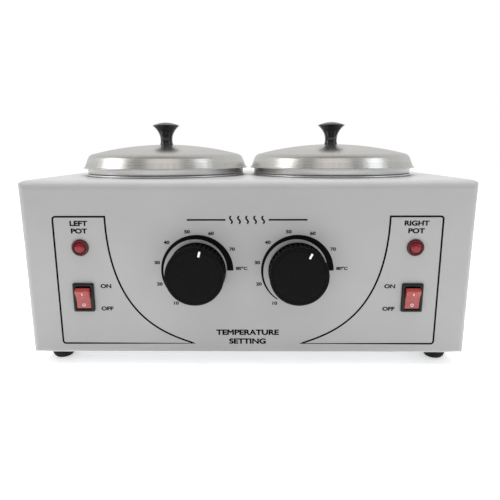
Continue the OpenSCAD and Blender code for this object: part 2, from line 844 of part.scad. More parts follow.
housing();
base_plate();
base_screws();
foot(LEFT, -1);  // foot_front_left
foot(RIGHT, -1);  // foot_front_right
foot(LEFT, 1);  // foot_rear_left
foot(RIGHT, 1);  // foot_rear_right
foot_screws();
foot_nuts();
heating_well(LEFT);  // heating_well_left
heating_well(RIGHT);  // heating_well_right
well_ring(LEFT);  // well_ring_left
well_ring(RIGHT);  // well_ring_right
band_heater(LEFT);  // band_heater_left
band_heater(RIGHT);  // band_heater_right
heater_clamp_screws();
insulation(LEFT);  // insulation_left
insulation(RIGHT);  // insulation_right
pot(LEFT);  // pot_left
pot(RIGHT);  // pot_right
lid(LEFT);  // lid_left
lid(RIGHT);  // lid_right
lid_knob(LEFT);  // lid_knob_left
lid_knob(RIGHT);  // lid_knob_right
lid_screw(LEFT);  // lid_screw_left
lid_screw(RIGHT);  // lid_screw_right
thermostat(LEFT);  // thermostat_left
thermostat(RIGHT);  // thermostat_right
thermostat_screws();
sensor_bulb(LEFT);  // sensor_bulb_left
sensor_bulb(RIGHT);  // sensor_bulb_right
bulb_clip(LEFT);  // bulb_clip_left
bulb_clip(RIGHT);  // bulb_clip_right
capillary(LEFT);  // capillary_left
capillary(RIGHT);  // capillary_right
dial_spindle(LEFT);  // dial_spindle_left
dial_spindle(RIGHT);  // dial_spindle_right
dial_knob(LEFT);  // dial_knob_left
dial_knob(RIGHT);  // dial_knob_right
dial_pointer(LEFT);  // dial_pointer_left
dial_pointer(RIGHT);  // dial_pointer_right
pilot_lamp(LEFT);  // pilot_lamp_left
pilot_lamp(RIGHT);  // pilot_lamp_right
pilot_lens(LEFT);  // pilot_lens_left
pilot_lens(RIGHT);  // pilot_lens_right
lamp_nuts();
switch_frame(LEFT);  // switch_frame_left
switch_frame(RIGHT);  // switch_frame_right
rocker(LEFT);  // rocker_left
rocker(RIGHT);  // rocker_right
switch_terminals();
terminal_block();
terminal_screws();
earth_stud();
wiring(LEFT);  // wiring_left
wiring(RIGHT);  // wiring_right
cord_gland();
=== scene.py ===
"""The looks of a twin-pot wax warmer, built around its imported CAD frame."""

import json
import math

import bmesh
import bpy
from mathutils import Matrix, Vector


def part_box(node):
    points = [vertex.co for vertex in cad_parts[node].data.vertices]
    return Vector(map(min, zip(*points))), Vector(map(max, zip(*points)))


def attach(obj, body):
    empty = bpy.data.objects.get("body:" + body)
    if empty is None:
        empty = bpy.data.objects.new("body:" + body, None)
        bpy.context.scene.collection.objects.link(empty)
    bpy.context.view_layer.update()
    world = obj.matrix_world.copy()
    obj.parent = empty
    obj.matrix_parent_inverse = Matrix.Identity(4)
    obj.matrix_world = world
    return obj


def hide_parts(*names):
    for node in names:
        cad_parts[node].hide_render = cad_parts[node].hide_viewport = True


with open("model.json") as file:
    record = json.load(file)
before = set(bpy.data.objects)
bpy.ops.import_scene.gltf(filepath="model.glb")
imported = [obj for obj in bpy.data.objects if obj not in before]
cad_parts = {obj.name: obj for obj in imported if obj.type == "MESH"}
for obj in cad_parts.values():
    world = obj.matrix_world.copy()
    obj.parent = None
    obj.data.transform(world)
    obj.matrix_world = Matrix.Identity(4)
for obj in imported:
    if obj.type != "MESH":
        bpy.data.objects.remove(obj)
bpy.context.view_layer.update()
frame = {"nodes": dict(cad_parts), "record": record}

MM = 0.001
SIDES = {"left": -1, "right": 1}
BASE = "warmer_base"

# ---- places, all taken from the frame ----


def corner(node, which, axis):
    """One side of a node's box, in millimetres: which is 0 for the lowest, 1 for the highest."""
    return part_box(node)[which][axis] / MM


def middle(node, axis):
    return (corner(node, 0, axis) + corner(node, 1, axis)) / 2


def half_width(node):
    return (corner(node, 1, 0) - corner(node, 0, 0)) / 2


FRONT = corner("housing", 0, 1)
BACK = corner("housing", 1, 1)
TOP = corner("housing", 1, 2)
DIAL_Z = middle("dial_knob_left", 2)


def standing(x, y, z):
    """The place of a piece whose own z axis points up."""
    return Matrix.Translation(Vector((x, y, z)) * MM)


def standing_on(node):
    """The place of an upright piece on the axis of a node, at the node's lowest point."""
    return standing(middle(node, 0), middle(node, 1), corner(node, 0, 2))


def on_panel(x, z, turn=0):
    """The place of a piece whose own z axis points out of the front panel."""
    upright = standing(x, FRONT, z) @ Matrix.Rotation(math.radians(90), 4, "X")
    return upright @ Matrix.Rotation(math.radians(-turn), 4, "Z")


def on_panel_at(node, turn=0):
    return on_panel(middle(node, 0), middle(node, 2), turn)


# ---- outlines and meshes ----


def rounded(corners, steps=6, closed=False):
    """An outline through (x, y) or (x, y, radius) corners, the last kind rounded."""
    outline = []
    for i, entry in enumerate(corners):
        here = Vector(entry[:2])
        at_end = not closed and i in (0, len(corners) - 1)
        if len(entry) == 2 or at_end:
            outline.append(tuple(here))
            continue
        back = (Vector(corners[i - 1][:2]) - here).normalized()
        ahead = (Vector(corners[(i + 1) % len(corners)][:2]) - here).normalized()
        half = back.angle(ahead) / 2
        centre = here + (back + ahead).normalized() * entry[2] / math.sin(half)
        start = here + back * entry[2] / math.tan(half) - centre
        end = here + ahead * entry[2] / math.tan(half) - centre
        turn = math.atan2(start.x * end.y - start.y * end.x, start.dot(end))
        for k in range(steps + 1):
            outline.append(tuple(centre + Matrix.Rotation(turn * k / steps, 2) @ start))
    return outline


def circle(radius, height, steps, flutes=0, depth=0):
    """A ring of points, scalloped by a number of flutes. A radius of 0 is one point."""
    if radius == 0:
        return [(0, 0, height)]
    ring = []
    for k in range(steps):
        angle = 2 * math.pi * k / steps
        r = radius - depth * math.sin(flutes * angle / 2) ** 2
        ring.append((r * math.cos(angle), r * math.sin(angle), height))
    return ring


def rectangle(width, height, radius, z, steps=5):
    """A rectangle of points with round corners, centred, at height z."""
    x, y = width / 2, height / 2
    corners = [(x, y, radius), (-x, y, radius), (-x, -y, radius), (x, -y, radius)]
    return [(px, py, z) for px, py in rounded(corners, steps, closed=True)]


def fill_between(bm, ring_a, ring_b):
    for k in range(max(len(ring_a), len(ring_b))):
        near = ring_a[k % len(ring_a)], ring_a[(k + 1) % len(ring_a)]
        far = ring_b[(k + 1) % len(ring_b)], ring_b[k % len(ring_b)]
        bm.faces.new(list(dict.fromkeys(near + far)))


def add_loft(bm, rings, wrap=False):
    """Adds the skin through rings of points, in millimetres. wrap joins the last to the first."""
    rows = [[bm.verts.new(Vector(point) * MM) for point in ring] for ring in rings]
    for row, following in zip(rows, rows[1:]):
        fill_between(bm, row, following)
    if wrap:
        fill_between(bm, rows[-1], rows[0])
    else:
        for row in (rows[0], rows[-1]):
            if len(row) > 2:
                bm.faces.new(row)


def to_mesh(bm, name):
    bmesh.ops.recalc_face_normals(bm, faces=bm.faces)
    mesh = bpy.data.meshes.new(name)
    bm.to_mesh(mesh)
    bm.free()
    return mesh


def loft(name, rings, wrap=False):
    bm = bmesh.new()
    add_loft(bm, rings, wrap)
    return to_mesh(bm, name)


def lathe(name, profile, steps=160):
    """A solid of revolution from (radius, height) points, open only where it meets the axis."""
    off_axis = profile[0][0] > 0 and profile[-1][0] > 0
    return loft(name, [circle(r, h, steps) for r, h in profile], wrap=off_axis)


def smooth(mesh, sharp_angle):
    mesh.shade_smooth()
    if sharp_angle < 180:
        mesh.set_sharp_from_angle(angle=math.radians(sharp_angle))


def add_piece(mesh, place, body, slot, nodes=(), sharp_angle=38):
    """Shows a mesh as a piece that rides on a body and may stand for CAD nodes."""
    piece = bpy.data.objects.new(mesh.name, mesh)
    bpy.context.scene.collection.objects.link(piece)
    piece.matrix_world = place
    mesh.materials.append(MATERIALS[slot])
    smooth(mesh, sharp_angle)
    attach(piece, body)
    if nodes:
        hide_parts(*nodes)
    return piece


# ---- material tools ----


class Surface:
    """A principled material, built up node by node. Sizes of its textures are millimetres."""

    def __init__(self, name, **sockets):
        self.material = bpy.data.materials.new(name)
        self.material.use_nodes = True
        self.tree = self.material.node_tree
        self.shader = self.tree.nodes["Principled BSDF"]
        for socket, value in sockets.items():
            self.shader.inputs[socket.replace("_", " ")].default_value = value
        self.place = self.add("ShaderNodeTexCoord").outputs["Object"]

    def add(self, kind, inputs=None, **settings):
        node = self.tree.nodes.new(kind)
        for name, value in settings.items():
            setattr(node, name, value)
        for name, value in (inputs or {}).items():
            if isinstance(value, bpy.types.NodeSocket):
                self.tree.links.new(value, node.inputs[name])
            else:
                node.inputs[name].default_value = value
        return node

    def math(self, operation, a, b=0.0):
        return self.add("ShaderNodeMath", {0: a, 1: b}, operation=operation).outputs[0]

    def stretched(self, x=1.0, y=1.0, z=1.0):
        mapping = self.add("ShaderNodeMapping", {"Vector": self.place, "Scale": (x, y, z)})
        return mapping.outputs["Vector"]

    def noise(self, size, detail=3.0, place=None):
        inputs = {"Vector": place or self.place, "Scale": 1 / (size * MM), "Detail": detail}
        return self.add("ShaderNodeTexNoise", inputs).outputs["Fac"]

    def radius(self):
        """Distance from the piece's own z axis."""
        return self.add("ShaderNodeVectorMath", {0: self.stretched(z=0.0)},
                        operation="LENGTH").outputs["Value"]

    def rings(self, pitch, detail=2.0):
        """Turning marks: noise that changes only with the distance from the axis."""
        inputs = {"W": self.radius(), "Scale": 1 / (pitch * MM), "Detail": detail}
        return self.add("ShaderNodeTexNoise", inputs, noise_dimensions="1D").outputs["Fac"]

    def spokes(self, count):
        """Streaks from the axis outward, used as painted highlight streaks in a colour: noise that
        changes only round the axis.
        """
        flat = self.add("ShaderNodeVectorMath", {0: self.stretched(z=0.0)}, operation="NORMALIZE")
        inputs = {"Vector": flat.outputs["Vector"], "Scale": count / 2, "Detail": 4.0}
        return self.add("ShaderNodeTexNoise", inputs).outputs["Fac"]

    def between(self, value, low, high, start=0.3, end=0.7):
        inputs = {"Value": value, "From Min": start, "From Max": end,
                  "To Min": low, "To Max": high}
        return self.add("ShaderNodeMapRange", inputs).outputs["Result"]

    def colour(self, value, low, high, start=0.3, end=0.7):
        ramp = self.add("ShaderNodeValToRGB", {"Fac": value})
        for stop, place, shade in zip(ramp.color_ramp.elements, (start, end), (low, high)):
            stop.position = place
            stop.color = (*shade, 1)
        self.tree.links.new(ramp.outputs["Color"], self.shader.inputs["Base Color"])
        return self

    def rough(self, value, low, high):
        self.tree.links.new(self.between(value, low, high), self.shader.inputs["Roughness"])
        return self

    def bump(self, height, depth):
        """Adds relief of a depth in millimetres over any relief that is there already."""
        socket = self.shader.inputs["Normal"]
        inputs = {"Height": height, "Distance": depth * MM, "Strength": 1.0}
        if socket.is_linked:
            inputs["Normal"] = socket.links[0].from_socket
        self.tree.links.new(self.add("ShaderNodeBump", inputs).outputs["Normal"], socket)
        return self


def grey(value):
    return (value, value, value)


def plain_finish(name, low, high, rough, grain, depth, **sockets):
    """A moulded or rolled finish: mottled colour, uneven gloss and a fine grain."""
    surface = Surface(name, **sockets)
    surface.colour(surface.noise(grain * 12), low, high)
    surface.rough(surface.noise(grain * 5), *rough)
    surface.bump(surface.noise(grain, 2.0), depth)
    return surface.material


# ---- materials, one for each slot ----


def housing_paint():
    surface = Surface("housing_paint", Metallic=0.0, Coat_Weight=0.25, Coat_Roughness=0.22)
    surface.colour(surface.noise(45.0, 4.0), grey(0.290), grey(0.310))
    surface.rough(surface.noise(6.0), 0.36, 0.44)
    surface.bump(surface.noise(1.5, 2.0), 0.012)
    surface.bump(surface.noise(0.35, 1.0), 0.003)
    return surface.material


def spun_metal(name, low, high, rough, turning):
    """Aluminium turned on a lathe: fine rings, faint spokes of painted highlight in its colour, and
    stretched highlights.
    """
    surface = Surface(name, Metallic=1.0, Anisotropic=0.55)
    # Painted highlight: the spokes make lighter and darker streaks out from the axis in the metal's
    # colour; the rings are real turning marks.
    rings_and_painted_sheen = surface.math("ADD", surface.spokes(60.0), surface.rings(2.0))
    surface.colour(rings_and_painted_sheen, low, high, 0.7, 1.3)
    surface.rough(surface.rings(turning), *rough)
    surface.bump(surface.rings(turning), 0.004)
    surface.bump(surface.noise(0.5, 2.0), 0.0015)
    tangent = surface.add("ShaderNodeTangent", direction_type="RADIAL", axis="Z")
    surface.tree.links.new(tangent.outputs["Tangent"], surface.shader.inputs["Tangent"])
    return surface.material


def lid_aluminium():
    return spun_metal("lid_aluminium", (0.52, 0.51, 0.485), (0.59, 0.58, 0.555), (0.22, 0.28), 0.45)


def pot_aluminium():
    return spun_metal("pot_aluminium", (0.46, 0.455, 0.45), (0.54, 0.535, 0.53), (0.30, 0.40), 0.7)


def well_aluminium():
    return spun_metal("well_aluminium", (0.56, 0.56, 0.56), (0.68, 0.68, 0.68), (0.34, 0.46), 0.9)


def plated_steel():
    surface = Surface("plated_steel", Metallic=1.0)
    spangle = surface.add("ShaderNodeTexVoronoi",
                          {"Vector": surface.place, "Scale": 1 / (5.0 * MM)})
    surface.colour(spangle.outputs["Distance"], (0.52, 0.53, 0.55), (0.64, 0.65, 0.66), 0.0, 0.8)
    surface.rough(surface.noise(2.5), 0.28, 0.44)
    surface.bump(surface.noise(0.4), 0.004)
    return surface.material


def heater_steel():
    surface = Surface("heater_steel", Metallic=1.0)
    surface.colour(surface.noise(16.0, 4.0), (0.30, 0.22, 0.16), (0.44, 0.42, 0.40))
    surface.rough(surface.noise(3.0), 0.32, 0.52)
    surface.bump(surface.noise(0.3, 1.0, surface.stretched(z=30.0)), 0.006)
    return surface.material


def insulation_fibre():
    """A woven glass-fibre mat: two crossing waves of yarn."""
    surface = Surface("insulation_fibre", Roughness=0.9, Sheen_Weight=0.4)
    yarn = {"Vector": surface.place, "Scale": 1 / (8.0 * MM), "Distortion": 0.6}
    across = surface.add("ShaderNodeTexWave", yarn, bands_direction="Z").outputs["Fac"]
    along = surface.add("ShaderNodeTexWave", yarn, bands_direction="DIAGONAL").outputs["Fac"]
    weave = surface.math("MULTIPLY", across, along)
    surface.colour(weave, (0.58, 0.55, 0.46), (0.84, 0.82, 0.74), 0.0, 0.9)
    surface.bump(weave, 0.25)
    surface.bump(surface.noise(0.25), 0.05)
    return surface.material


def lid_knob_plastic():
    return plain_finish("lid_knob_plastic", (0.004, 0.005, 0.007), (0.008, 0.010, 0.013),
                        (0.16, 0.24), 0.8, 0.0015, Specular_IOR_Level=0.4, Coat_Weight=0.15)


def dial_plastic():
    return plain_finish("dial_plastic", grey(0.0015), grey(0.003), (0.42, 0.54), 0.3, 0.006,
                        Specular_IOR_Level=0.06)


def switch_black():
    return plain_finish("switch_black", (0.004, 0.005, 0.005), (0.008, 0.009, 0.009),
                        (0.26, 0.36), 0.35, 0.004, Specular_IOR_Level=0.18)


def foot_rubber():
    return plain_finish("foot_rubber", grey(0.005), grey(0.010), (0.60, 0.78), 0.3, 0.012,
                        Specular_IOR_Level=0.2)


def gland_rubber():
    return plain_finish("gland_rubber", grey(0.012), grey(0.022), (0.55, 0.70), 0.3, 0.010)


def thermostat_case():
    return plain_finish("thermostat_case", (0.13, 0.07, 0.035), (0.20, 0.11, 0.06),
                        (0.34, 0.52), 0.5, 0.008)


def pointer_white():
    return plain_finish("pointer_white", grey(0.74), grey(0.82), (0.34, 0.46), 0.3, 0.003)


def white_nylon():
    return plain_finish("white_nylon", (0.66, 0.65, 0.60), (0.76, 0.75, 0.71),
                        (0.36, 0.50), 0.4, 0.005, Subsurface_Weight=0.1, Subsurface_Scale=0.002)


def block_ceramic():
    return plain_finish("block_ceramic", (0.68, 0.65, 0.58), (0.78, 0.76, 0.70),
                        (0.22, 0.40), 0.6, 0.01, Coat_Weight=0.3)


def sensor_copper():
    return plain_finish("sensor_copper", (0.52, 0.25, 0.14), (0.80, 0.44, 0.29),
                        (0.22, 0.42), 0.5, 0.004, Metallic=1.0)


def terminal_brass():
    return plain_finish("terminal_brass", (0.62, 0.46, 0.20), (0.78, 0.60, 0.30),
                        (0.20, 0.36), 0.4, 0.004, Metallic=1.0)


def wire_insulation():
    return plain_finish("wire_insulation", (0.36, 0.02, 0.02), (0.46, 0.04, 0.03),
                        (0.38, 0.52), 0.4, 0.006, Sheen_Weight=0.15)


def panel_print():
    return plain_finish("panel_print", grey(0.001), grey(0.002), (0.50, 0.62), 0.25, 0.002,
                        Specular_IOR_Level=0.05)


def lamp_body():
    return plain_finish("lamp_body", (0.035, 0.002, 0.003), (0.055, 0.004, 0.006),
                        (0.20, 0.30), 0.5, 0.002, Specular_IOR_Level=0.3)


def lamp_lens():
    surface = Surface("lamp_lens", IOR=1.49, Transmission_Weight=0.2, Specular_IOR_Level=0.3)
    # Painted light and shade: the red is lighter in the middle of the lens and darker towards its
    # rim.
    surface.colour(surface.radius(), (0.28, 0.010, 0.016), (0.13, 0.004, 0.007),
                   0.0, 0.0045)
    surface.rough(surface.noise(1.2), 0.08, 0.16)
    surface.bump(surface.noise(0.6), 0.004)
    return surface.material


def rocker_red():
    surface = Surface("rocker_red", IOR=1.49, Subsurface_Weight=0.35, Subsurface_Scale=0.003,
                      Coat_Weight=0.1, Coat_Roughness=0.12)
    surface.colour(surface.noise(4.0), (0.26, 0.030, 0.028), (0.31, 0.044, 0.040))
    surface.rough(surface.noise(1.5), 0.20, 0.30)
    surface.bump(surface.noise(0.3), 0.003)
    return surface.material


FINISHES = (
    housing_paint, plated_steel, foot_rubber, well_aluminium, heater_steel, insulation_fibre,
    pot_aluminium, lid_aluminium, lid_knob_plastic, thermostat_case, sensor_copper,
    dial_plastic, pointer_white, lamp_body, lamp_lens, white_nylon, switch_black, rocker_red,
    terminal_brass, block_ceramic, wire_insulation, gland_rubber, panel_print,
)
MATERIALS = {finish.__name__: finish() for finish in FINISHES}


def dress_cad_nodes():
    """Gives every CAD node the material of its slot."""
    for part in frame["record"]["subparts"]:
        node = frame["nodes"][part["node"]]
        node.data.materials.clear()
        node.data.materials.append(MATERIALS[part["material_slot"]])
        for face in node.data.polygons:
            face.material_index = 0


# ---- lids, knobs, pots and wells ----

LID_SHEET = 1.0
DOME_R = 245.0
SHOULDER_START = 61.0
SHOULDER_R = 6.0
BAND_LEAN = math.radians(22)
LIP_RISE = 0.9
LID_HOLE_R = 2.2


def lid_section(lip_r, height):
    """A spun lid's section: dome, tight shoulder, leaning band and a rolled lip."""
    dome_z = height - DOME_R
    bend = math.asin(SHOULDER_START / DOME_R)
    band_angle = math.pi / 2 - BAND_LEAN
    shoulder_x = (DOME_R - SHOULDER_R) * math.sin(bend)
    shoulder_z = dome_z + (DOME_R - SHOULDER_R) * math.cos(bend)
    hole = math.asin(LID_HOLE_R / DOME_R)

    def skin(inset):
        angles = [hole + (bend - hole) * i / 36 for i in range(36)]
        line = [((DOME_R - inset) * math.sin(a), dome_z + (DOME_R - inset) * math.cos(a))
                for a in angles]
        for i in range(17):
            a = bend + (band_angle - bend) * i / 16
            line.append((shoulder_x + (SHOULDER_R - inset) * math.sin(a),
                         shoulder_z + (SHOULDER_R - inset) * math.cos(a)))
        return line

    outside, inside = skin(0), skin(LID_SHEET)
    slope = math.tan(BAND_LEAN)
    band_foot = outside[-1][0] + (outside[-1][1] - LIP_RISE) * slope
    inner_foot = inside[-1][0] + inside[-1][1] * slope
    lip = rounded([outside[-1], (band_foot, LIP_RISE, 0.25), (lip_r, 0.62, 0.28),
                   (lip_r, 0, 0.28), (inner_foot, 0, 0.2), inside[-1]])
    return outside + lip[1:-1] + inside[::-1]


def knob_section(rim_r, height):
    """A trumpet-shaped lid knob: foot, straight neck, flare, rim and a shallow cap."""
    neck_r, foot_flare, flare_top = 4.8, 0.9, height * 0.84
    line = [(0, 0)]
    for i in range(41):
        t = i / 40
        flare = neck_r + foot_flare * (1 - t) ** 10 + (rim_r - neck_r) * t ** 3
        line.append((flare, t * flare_top))
    cap_z = flare_top + 0.4
    line += rounded([line.pop(), (rim_r, cap_z, 0.15), (rim_r * 0.96, cap_z + 0.2)], 4)
    for i in range(2, 25):
        t = i / 24
        line.append((rim_r * (1 - t), cap_z + (height - cap_z) * (1 - (1 - t) ** 2)))
    return line


def pot_section(low, step, rim):
    """A deep pot whose collar steps out over the well's flange."""
    wall_r, collar_r, sheet = 59.3, half_width("pot_left"), 1.2
    return rounded([
        (0, 0), (wall_r, 0, 5), (wall_r, step - low, 0.3), (collar_r, step - low, 0.6),
        (collar_r, rim - low, 0.5), (collar_r - sheet, rim - low, 0.5),
        (collar_r - sheet, step - low + sheet, 0.6), (wall_r - sheet, step - low + sheet, 1.0),
        (wall_r - sheet, sheet, 3.8), (0, sheet)])


def well_section(height):
    wall_r, flange_r, sheet, flange = 61.8, half_width("heating_well_left"), 1.2, 1.45
    return rounded([
        (0, 0), (wall_r, 0, 4), (wall_r, height - flange), (flange_r, height - flange, 0.3),
        (flange_r, height, 0.7), (wall_r - sheet, height, 0.7), (wall_r - sheet, sheet, 2.8),
        (0, sheet)])


def add_pots(side):
    pot, lid, knob, well = (f"{kind}_{side}" for kind in ("pot", "lid", "lid_knob", "heating_well"))
    pot_low, pot_rim = corner(pot, 0, 2), corner(pot, 1, 2)
    well_low, well_top = corner(well, 0, 2), corner(well, 1, 2)
    section = pot_section(pot_low, well_top + 0.2, pot_rim)
    add_piece(lathe(f"pot_shell_{side}", section), standing_on(pot), f"{side}_pot",
              "pot_aluminium", [pot])
    add_piece(lathe(f"well_cup_{side}", well_section(well_top - well_low)), standing_on(well),
              BASE, "well_aluminium", [well])
    lid_height = corner(lid, 1, 2) - corner(lid, 0, 2)
    add_piece(lathe(f"lid_dome_{side}", lid_section(half_width(lid), lid_height), 256),
              standing_on(lid), f"{side}_lid", "lid_aluminium", [lid])
    knob_height = corner(knob, 1, 2) - corner(knob, 0, 2)
    add_piece(lathe(f"lid_grip_{side}", knob_section(half_width(knob), knob_height)),
              standing_on(knob), f"{side}_lid", "lid_knob_plastic", [knob])


# ---- dials ----

FLUTES = 38
FLUTE_DEPTH = 1.1
FLUTE_STEPS = 8
DIAL_REST = {"left": 13, "right": 27}
POINTER_W = 1.4
POINTER_L = 3.8


def dial_rings(skirt_r, gap, face):
    """Rings of a fluted knob: (radius, height, share of the flutes' full depth)."""
    grip_r = skirt_r - 0.4
    levels = [
        (skirt_r - 0.3, gap, 0), (skirt_r, gap + 0.3, 0), (skirt_r, 2.3, 0),
        (skirt_r - 0.2, 2.55, 0), (grip_r - 0.9, 2.6, 0), (grip_r - 0.9, 3.0, 0),
        (grip_r - 0.1, 3.1, 1), (grip_r, 3.4, 1), (grip_r, face - 2.0, 1),
        (grip_r, face - 1.6, 0.8), (grip_r, face - 1.2, 0.3),
        (grip_r, face - 0.9, 0), (grip_r, face - 0.4, 0), (grip_r - 0.12, face - 0.12, 0),
        (grip_r - 0.4, face, 0), (grip_r - 1.9, face, 0),
        (grip_r - 2.1, face - 0.2, 0), (grip_r - 2.4, face - 0.2, 0), (grip_r - 2.6, face, 0)]
    steps = FLUTES * FLUTE_STEPS
    rings = [circle(r, h, steps, FLUTES, FLUTE_DEPTH * share) for r, h, share in levels]
    return [circle(0, gap, steps)] + rings + [circle(0, face, steps)]


def bar_rings(width, height, radius, low, high, edge):
    """A small raised bar with softened upper edges."""
    return [rectangle(width, height, radius, low), rectangle(width, height, radius, high - edge),
            rectangle(width - 0.6 * edge, height - 0.6 * edge, radius, high - 0.3 * edge),
            rectangle(width - 2 * edge, height - 2 * edge, radius * 0.7, high)]


def add_dial(side):
    knob, pointer = f"dial_knob_{side}", f"dial_pointer_{side}"
    face = FRONT - corner(knob, 0, 1)
    gap = FRONT - corner(knob, 1, 1)
    place = on_panel_at(knob, DIAL_REST[side])
    add_piece(loft(f"dial_grip_{side}", dial_rings(half_width(knob), gap, face)), place,
              f"{side}_dial", "dial_plastic", [knob])
    out = FRONT - corner(pointer, 0, 1)
    across = middle(pointer, 0) - middle(knob, 0)
    up = middle(pointer, 2) - middle(knob, 2)
    bar = bar_rings(POINTER_W, POINTER_L, 0.3, face - 0.5, out, 0.08)
    bar_place = place @ standing(0, math.hypot(across, up), 0)
    add_piece(loft(f"dial_bar_{side}", bar), bar_place, f"{side}_dial", "pointer_white",
              [pointer])


# ---- switches and lamps ----

ROCKER_TILT = math.radians(15)
PIVOT_OUT = -0.9
ROCKER_W = 10.2


def switch_rings():
    """The switch's frame and body as one skin, from its back to the floor of its well."""
    body_w, body_h, open_w, open_h, width, height = 12.8, 18.8, 10.6, 17.0, 15.0, 21.0
    return [
        rectangle(body_w, body_h, 0.4, -13), rectangle(body_w, body_h, 0.4, 0.05),
        rectangle(width, height, 1.0, 0.05), rectangle(width, height, 1.0, 1.35),
        rectangle(width - 0.25, height - 0.25, 0.95, 1.7),
        rectangle(width - 0.7, height - 0.7, 0.9, 1.92),
        rectangle(width - 1.3, height - 1.3, 0.8, 2.0),
        rectangle(open_w + 0.8, open_h + 0.8, 0.6, 2.0),
        rectangle(open_w + 0.25, open_h + 0.25, 0.5, 1.85),
        rectangle(open_w, open_h, 0.4, 1.5), rectangle(open_w, open_h, 0.4, -7)]


def rocker_rings():
    """A dished rocker, swept across its width, with its side edges rounded off."""
    outline = rounded([
        (0, 3.2, 6.0), (7.2, 4.6, 0.7), (8, 1, 0.5), (6.5, -1, 0.6), (3.6, -3.6, 0.6),
        (-3.6, -3.6, 0.6), (-6.5, -1, 0.6), (-8, 1, 0.5), (-7.2, 4.6, 0.7)], 6, closed=True)
    edge = ((0, 0.35), (0.12, 0.12), (0.35, 0))
    half = ROCKER_W / 2
    sections = [(-half + x, inset) for x, inset in edge]
    sections += [(half - x, inset) for x, inset in reversed(edge)]
    return [[(x, y * (1 - inset / 8), z * (1 - inset / 5)) for y, z in outline]
            for x, inset in sections]


def rocker_marks(name):
    """The raised bar and ring that mark a rocker's two ends."""
    bm = bmesh.new()
    slope, surface_z, from_middle = math.atan2(1.4, 7.2), 4.06, 4.4
    for end in (1, -1):
        place = standing(0, end * from_middle, surface_z)
        place @= Matrix.Rotation(end * slope, 4, "X")
        mark = bmesh.new()
        if end == 1:
            add_loft(mark, bar_rings(0.5, 2.0, 0.2, -0.2, 0.12, 0.05))
        else:
            ring = rounded([(0.75, -0.2), (1.1, -0.2), (1.1, 0.12, 0.05), (0.75, 0.12, 0.05)],
                           3, closed=True)
            add_loft(mark, [circle(r, h, 40) for r, h in ring], wrap=True)
        mark.transform(place)
        scratch = to_mesh(mark, name)
        bm.from_mesh(scratch)
        bpy.data.meshes.remove(scratch)
    return to_mesh(bm, name)


def add_switch(side):
    switch, rocker = f"switch_frame_{side}", f"rocker_{side}"
    add_piece(loft(f"switch_bezel_{side}", switch_rings()), on_panel_at(switch), BASE,
              "switch_black", [switch])
    place = on_panel_at(switch) @ standing(0, 0, PIVOT_OUT)
    place @= Matrix.Rotation(ROCKER_TILT, 4, "X")
    add_piece(loft(f"rocker_cap_{side}", rocker_rings()), place, f"{side}_rocker",
              "rocker_red", [rocker])
    add_piece(rocker_marks(f"rocker_marks_{side}"), place, f"{side}_rocker", "pointer_white")


def lens_rings(radius):
    """A faceted dome: each ring is turned by half a facet from the one below."""
    facets = 20
    levels = [(1, -1.9), (1, 1.3), (0.9, 1.8), (0.68, 2.2), (0.4, 2.45)]
    rings = []
    for i, (share, height) in enumerate(levels):
        turn = math.pi / facets * (max(i - 1, 0) % 2)
        rings.append([(radius * share * math.cos(2 * math.pi * k / facets + turn),
                       radius * share * math.sin(2 * math.pi * k / facets + turn), height)
                      for k in range(facets)])
    return rings + [[(0, 0, 2.6)]]


def add_lamp(side):
    lamp, lens = f"pilot_lamp_{side}", f"pilot_lens_{side}"
    lens_r, bezel_r = half_width(lens), half_width(lamp)
    section = rounded([
        (0, -18), (4.8, -18, 0.3), (4.8, 0.05), (bezel_r, 0.05), (bezel_r, 1.0, 0.4),
        (bezel_r - 0.7, 1.7, 0.4), (lens_r + 0.35, 1.7, 0.2), (lens_r + 0.1, 1.3),
        (lens_r + 0.1, -2.0), (0, -2.0)])
    add_piece(lathe(f"lamp_bezel_{side}", section, 96), on_panel_at(lamp), BASE, "lamp_body",
              [lamp])
    add_piece(loft(f"lamp_dome_{side}", lens_rings(lens_r)), on_panel_at(lens), BASE,
              "lamp_lens", [lens], sharp_angle=4)


# ---- feet and cord gland ----


def add_foot(node):
    height, top_r, tread_r = corner(node, 1, 2), half_width(node), 5.4
    recess_r, recess_h, hole_r = 3.9, 5.0, 2.1
    dome = []
    for i in range(1, 15):
        angle = math.pi / 2 * i / 14
        dome.append((tread_r + (top_r - tread_r) * math.sin(angle), height * (1 - math.cos(angle))))
    section = rounded([(recess_r, recess_h), (recess_r, 0, 0.3), (tread_r, 0, 0.1), dome[0]])
    section += dome[1:] + [(hole_r, height), (hole_r, recess_h)]
    place = standing(middle(node, 0), middle(node, 1), 0)
    add_piece(lathe(node.replace("foot", "rubber_foot"), section, 96), place, BASE,
              "foot_rubber", [node])


def add_gland():
    """The cord's grommet: two flanges that hold the sheet, and a ribbed collar outside."""
    bore_r, reach, flange_r = 3.6, corner("cord_gland", 1, 1) - BACK, half_width("cord_gland")
    section = rounded([
        (bore_r, -4, 0.3), (8.5, -4, 0.6), (8.5, -1.25, 0.1), (6, -1.25), (6, 0.05),
        (flange_r, 0.05, 0.1), (flange_r, 1.5, 0.4), (7.6, 1.9, 0.2), (7.3, 2.5, 0.2),
        (6.9, 2.7, 0.1), (6.6, reach, 0.5), (bore_r, reach, 0.4)], 4, closed=True)
    place = standing(middle("cord_gland", 0), BACK, middle("cord_gland", 2))
    add_piece(lathe("cord_grommet", section, 96), place @ Matrix.Rotation(-math.pi / 2, 4, "X"),
              BASE, "gland_rubber", ["cord_gland"])


# ---- what is printed on the panel ----

INK_LOW = -0.02
INK_HIGH = 0.04
LINE_W = 1.3
RULE_W = 1.15
STROKE_GROWTH = 0.046
LETTER_STRETCH = 1.27
BOX_X = 136.1
BOX_TOP = -25.0
BOX_LOW = -119.1
BOX_INNER_X = 99.5
TIP_X = 39.3
SCALE_R = 25.8
SCALE_START = -147
SCALE_END = 90


